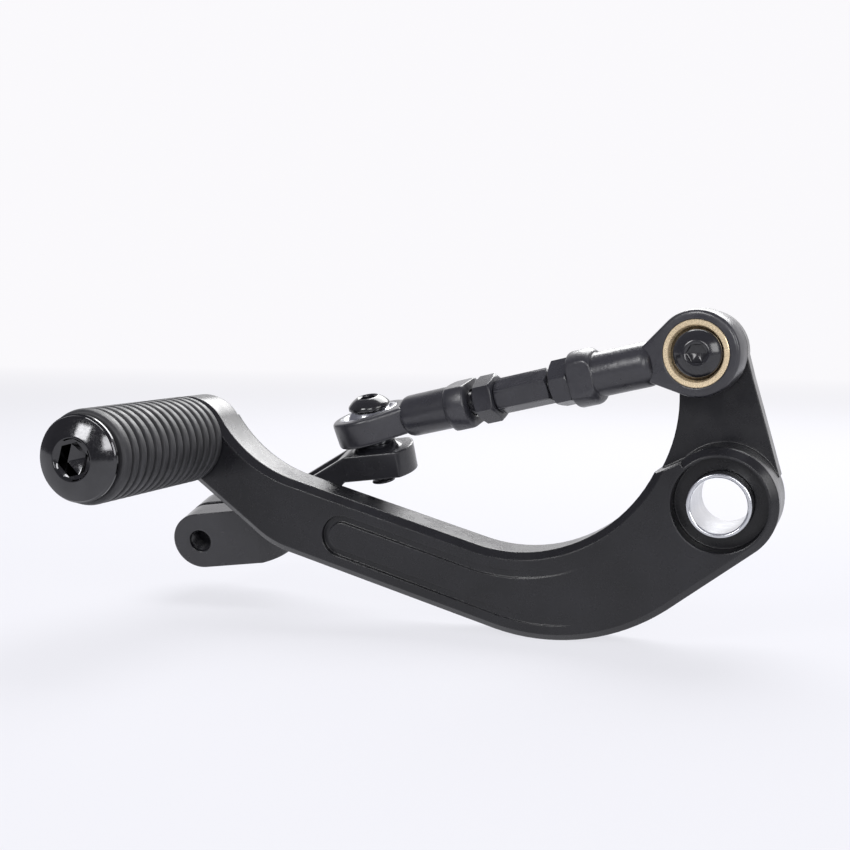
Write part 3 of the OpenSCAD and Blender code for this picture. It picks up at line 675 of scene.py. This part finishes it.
class SHIFTER_OT_link(bpy.types.Operator):
    """Build the hexagonal rod with its threads and the jam nuts"""
    bl_idname = "shifter.link"
    bl_label = "Link rod and nuts"

    def execute(self, context):
        sizes, colours = context.scene.shifter_sizes, context.scene.shifter_colours
        satin = black_coat("link_satin_black", colours.joint, 0, 0.27, 2600, 0.5, lumps=0.04)
        start, end = span("link_rod", UPPER, LINK_X)
        near = span("upper_jam_nut", UPPER, LINK_X)
        far = span("lower_jam_nut", UPPER, LINK_X)
        hex_low, hex_high = near[1] + sizes.upper_thread, far[0] - 0.1 * MM
        r, corner = sizes.screw_r, sizes.rod_hex / math.sqrt(3)
        face = 0.48 * sizes.rod_hex
        drop = (corner - face) * math.tan(math.radians(30))
        ends = [(0, 0), (0.3, 0.3), (0.6, 0.6), (1, 1)]
        rows = [station(0.05 * MM, start), station(r - 0.6 * MM, start), station(r - 0.1 * MM, start + 0.5 * MM)]
        rows += thread_rows(near[1] - 1 * MM, hex_low + 0.2 * MM, r, sizes.thread_depth, sizes.pitch)
        rows += [station(r, hex_low + 0.02 * MM), station(face, hex_low + 0.02 * MM)]
        rows += [station(corner, hex_low + t * drop, 1.0, face + u * (corner - face)) for t, u in ends]
        rows += [station(corner, hex_high - t * drop, 1.0, face + u * (corner - face)) for t, u in ends[::-1]]
        rows += [station(face, hex_high), station(r, hex_high), station(r, far[1] - 1 * MM)]
        rows += thread_rows(far[1] - 1 * MM, far[1] + 4 * MM, r, sizes.thread_depth, sizes.pitch)
        rows += [station(r - 0.1 * MM, end - 0.5 * MM), station(r - 0.6 * MM, end), station(0.05 * MM, end)]
        grid = placed(turned(rows, sizes.pitch), UPPER, spun(LINK_Z, LINK_X, 20), LINK_X)
        add_piece("hex_rod", grid, "link", satin, ["link_rod"])
        add_nut("upper_nut", "upper_jam_nut", "link", UPPER, LINK_Z, LINK_X, 12, sizes, satin)
        add_nut("lower_nut", "lower_jam_nut", "link", UPPER, LINK_Z, LINK_X, 35, sizes, satin)
        return {"FINISHED"}


class SHIFTER_OT_crank(bpy.types.Operator):
    """Finish the crank, cut the thread in its near ear and build its pinch screw"""
    bl_idname = "shifter.crank"
    bl_label = "Crank"

    def execute(self, context):
        sizes, colours = context.scene.shifter_sizes, context.scene.shifter_colours
        gloss = black_coat("crank_gloss_black", colours.crank, 1.4 * sizes.soft_edge, 0.24, 1800, 0.5, coat=0.12)
        oxide = black_coat("pinch_black", shade(colours.joint, 0.5), 0, 0.25, 2600)
        dress("crank_arm", gloss)
        near = np.cross(CRANK_Z, CRANK_X)
        axis = BORE + np.mean(span("crank_pinch_screw", BORE, CRANK_X)) * CRANK_X
        head, tip = span("crank_pinch_screw", BORE, near)
        ear = span("crank_arm", BORE, near)[1]
        r, depth, pitch = sizes.screw_r, sizes.thread_depth, sizes.pitch
        low, high = tip + 0.15 * MM, ear - 0.1 * MM
        z = np.arange(low, high - 0.5 * MM, pitch / 8)
        rows = [station(r + 0.04 * MM, low)] + [station(r, at, thread=depth) for at in z]
        rows += [station(r, high - 0.25 * MM), station(r + 0.04 * MM, high)]
        add_piece("ear_thread", placed(turned(rows, pitch), axis, CRANK_X, near), "crank", oxide,
                  closed=True)
        corner = 5 * MM / math.sqrt(3)
        rows = [station(0.05 * MM, tip), station(r - 0.7 * MM, tip)]
        rows += thread_rows(head + 7 * MM, tip, r, depth, pitch)[::-1]
        rows += [station(r, head + 6 * MM), station(4.85 * MM, head + 6 * MM), station(5 * MM, head + 5.85 * MM),
                 station(5 * MM, head + 0.4 * MM), station(4.6 * MM, head), station(3.1 * MM, head),
                 station(corner, head + 0.3 * MM, 1.0), station(corner, head + 3 * MM, 1.0),
                 station(0.03 * MM, head + 3.6 * MM)]
        add_piece("pinch_screw", placed(turned(rows, pitch), axis, CRANK_X, near), "crank", oxide,
                  ["crank_pinch_screw"])
        return {"FINISHED"}


class SHIFTER_OT_stage(bpy.types.Operator):
    """Make the camera, the lights, the world and the pale backdrop"""
    bl_idname = "shifter.stage"
    bl_label = "Stage"

    def execute(self, context):
        colours = context.scene.shifter_colours
        low, high = CAD_BOX
        add_camera(context.scene)
        add_backdrop(low[2], colours.backdrop)
        add_lamp("top_softbox", (-0.05, 0.46, 0.55), (-0.06, 0.0, 0.0), 0.60, 11.0)
        add_lamp("right_softbox", (0.16, -0.68, 0.24), (-0.10, 0.0, 0.0), 0.24, 1.6)
        add_lamp("left_softbox", (-0.34, -0.62, 0.36), (-0.10, 0.0, 0.0), 0.24, 2.4)
        add_lamp("side_softbox", (0.60, -0.25, 0.25), (-0.04, 0.0, 0.0), 0.35, 2.0)
        set_world(context.scene)
        return {"FINISHED"}


def add_camera(scene):
    """The camera that was fitted to the photo's round edges: its place and its three axes."""
    ahead = unit([-0.3305, 0.9400, -0.0859])
    right = unit([0.9434, 0.3318, 0.0])
    up = np.cross(right, ahead)
    data = bpy.data.cameras.new("photo_camera")
    data.sensor_width = 36.0
    data.lens = 36.0 * 1300 / 850
    data.clip_start, data.clip_end = 0.01, 20
    camera = bpy.data.objects.new("photo_camera", data)
    turn = Matrix(np.stack([right, up, -ahead], axis=1).tolist()).to_4x4()
    camera.matrix_world = Matrix.Translation(Vector((0.0322, -0.2812, 0.0412))) @ turn
    scene.collection.objects.link(camera)
    scene.camera = camera


def add_backdrop(height, colour):
    """A floor that bends up into a wall: a straight run, a quarter circle, a straight rise. The
    camera and reflections see mostly its own pale colour, and the floor keeps a soft shadow."""
    front, depth, bend, rise, half = -0.42, 1.6, 0.5, 3.0, 3.0
    t = np.linspace(0, math.pi / 2, 24)
    y = np.concatenate([[front], depth + bend * np.sin(t), [depth + bend]])
    z = np.concatenate([[0.0], bend * (1 - np.cos(t)), [rise]])
    x = np.array([-half, half])
    grid = np.stack([np.broadcast_to(x, (len(y), 2)), np.repeat(y[:, None], 2, 1),
                     np.repeat(z[:, None] + height, 2, 1)], axis=-1)
    index = np.arange(len(y) * 2).reshape(-1, 2)
    faces = np.stack([index[:-1, 0], index[:-1, 1], index[1:, 1], index[1:, 0]], axis=-1)
    mesh = bpy.data.meshes.new("backdrop")
    mesh.from_pydata(grid.reshape(-1, 3).tolist(), [], faces.tolist())
    mesh.polygons.foreach_set("use_smooth", np.ones(len(mesh.polygons), bool))
    backdrop = bpy.data.objects.new("backdrop", mesh)
    bpy.context.scene.collection.objects.link(backdrop)
    material = bpy.data.materials.new("backdrop")
    material.use_nodes = True
    nodes, links = material.node_tree.nodes, material.node_tree.links
    nodes.clear()
    out = nodes.new("ShaderNodeOutputMaterial")
    paper = nodes.new("ShaderNodeBsdfDiffuse")
    paper.inputs["Color"].default_value = (*shade(colour, 0.60), 1)
    glow = nodes.new("ShaderNodeEmission")
    glow.inputs["Strength"].default_value = 1.0
    # the wall is a little whiter than the floor, with a soft line between them
    place = nodes.new("ShaderNodeTexCoord")
    split = nodes.new("ShaderNodeSeparateXYZ")
    blend = nodes.new("ShaderNodeMapRange")
    blend.inputs["From Min"].default_value = 0.30
    blend.inputs["From Max"].default_value = 1.25
    tone = nodes.new("ShaderNodeMix")
    tone.data_type = "RGBA"
    low, high = [socket for socket in tone.inputs if socket.type == "RGBA"]
    low.default_value = (*colour, 1)
    high.default_value = (0.975, 0.965, 0.99, 1)
    links.new(place.outputs["Object"], split.inputs[0])
    links.new(split.outputs["Y"], blend.inputs["Value"])
    links.new(blend.outputs["Result"], tone.inputs["Factor"])
    links.new([socket for socket in tone.outputs if socket.type == "RGBA"][0], glow.inputs["Color"])
    mix = nodes.new("ShaderNodeMixShader")
    path = nodes.new("ShaderNodeLightPath")
    share = nodes.new("ShaderNodeMath")
    share.operation = "MULTIPLY"
    seen = nodes.new("ShaderNodeMath")
    seen.operation = "MAXIMUM"
    most = nodes.new("ShaderNodeMath")
    most.operation = "MAXIMUM"
    part = nodes.new("ShaderNodeMapRange")
    part.inputs["To Min"].default_value = 0.80
    part.inputs["To Max"].default_value = 0.98
    links.new(blend.outputs["Result"], part.inputs["Value"])
    links.new(path.outputs["Is Camera Ray"], share.inputs[0])
    links.new(part.outputs["Result"], share.inputs[1])
    links.new(path.outputs["Is Glossy Ray"], seen.inputs[0])
    links.new(path.outputs["Is Transmission Ray"], seen.inputs[1])
    links.new(share.outputs[0], most.inputs[0])
    links.new(seen.outputs[0], most.inputs[1])
    links.new(most.outputs[0], mix.inputs["Fac"])
    links.new(paper.outputs[0], mix.inputs[1])
    links.new(glow.outputs[0], mix.inputs[2])
    links.new(mix.outputs[0], out.inputs["Surface"])
    mesh.materials.append(material)


def add_lamp(name, place, aim, size, power):
    data = bpy.data.lights.new(name, "AREA")
    data.shape = "SQUARE"
    data.size = size
    data.energy = power
    lamp = bpy.data.objects.new(name, data)
    lamp.location = place
    lamp.rotation_euler = (Vector(aim) - Vector(place)).to_track_quat("-Z", "Y").to_euler()
    bpy.context.scene.collection.objects.link(lamp)


def set_world(scene):
    """A plain dim studio on the camera's side."""
    world = bpy.data.worlds.new("studio")
    scene.world = world
    world.use_nodes = True
    nodes, links = world.node_tree.nodes, world.node_tree.links
    nodes.clear()
    out = nodes.new("ShaderNodeOutputWorld")
    plain = nodes.new("ShaderNodeBackground")
    plain.inputs["Color"].default_value = (0.88, 0.87, 1.0, 1)
    plain.inputs["Strength"].default_value = 0.28
    links.new(plain.outputs[0], out.inputs["Surface"])


class SHIFTER_PT_panel(bpy.types.Panel):
    """Lists the steps that dress the shift lever"""
    bl_idname = "SHIFTER_PT_panel"
    bl_label = "Shift Lever"
    bl_space_type = "VIEW_3D"
    bl_region_type = "UI"
    bl_category = "Shift Lever"

    def draw(self, context):
        for step in STEPS:
            self.layout.operator(step.bl_idname)
        for group in (context.scene.shifter_sizes, context.scene.shifter_colours):
            for name in group.__annotations__:
                self.layout.prop(group, name)


STEPS = (SHIFTER_OT_lever, SHIFTER_OT_peg, SHIFTER_OT_joints, SHIFTER_OT_link, SHIFTER_OT_crank,
         SHIFTER_OT_stage)
CLASSES = (ShifterSizes, ShifterColours, *STEPS, SHIFTER_PT_panel)


def register():
    for cls in CLASSES:
        bpy.utils.register_class(cls)
    bpy.types.Scene.shifter_sizes = bpy.props.PointerProperty(type=ShifterSizes)
    bpy.types.Scene.shifter_colours = bpy.props.PointerProperty(type=ShifterColours)


def unregister():
    del bpy.types.Scene.shifter_colours
    del bpy.types.Scene.shifter_sizes
    for cls in reversed(CLASSES):
        bpy.utils.unregister_class(cls)


def main():
    register()
    for item in [o for o in bpy.data.objects if o.type in {"CAMERA", "LIGHT"}]:
        bpy.data.objects.remove(item)
    for step in STEPS:
        group, name = step.bl_idname.split(".")
        getattr(getattr(bpy.ops, group), name)()
    bpy.context.scene.view_settings.view_transform = "Standard"


if __name__ == "__main__":
    main()
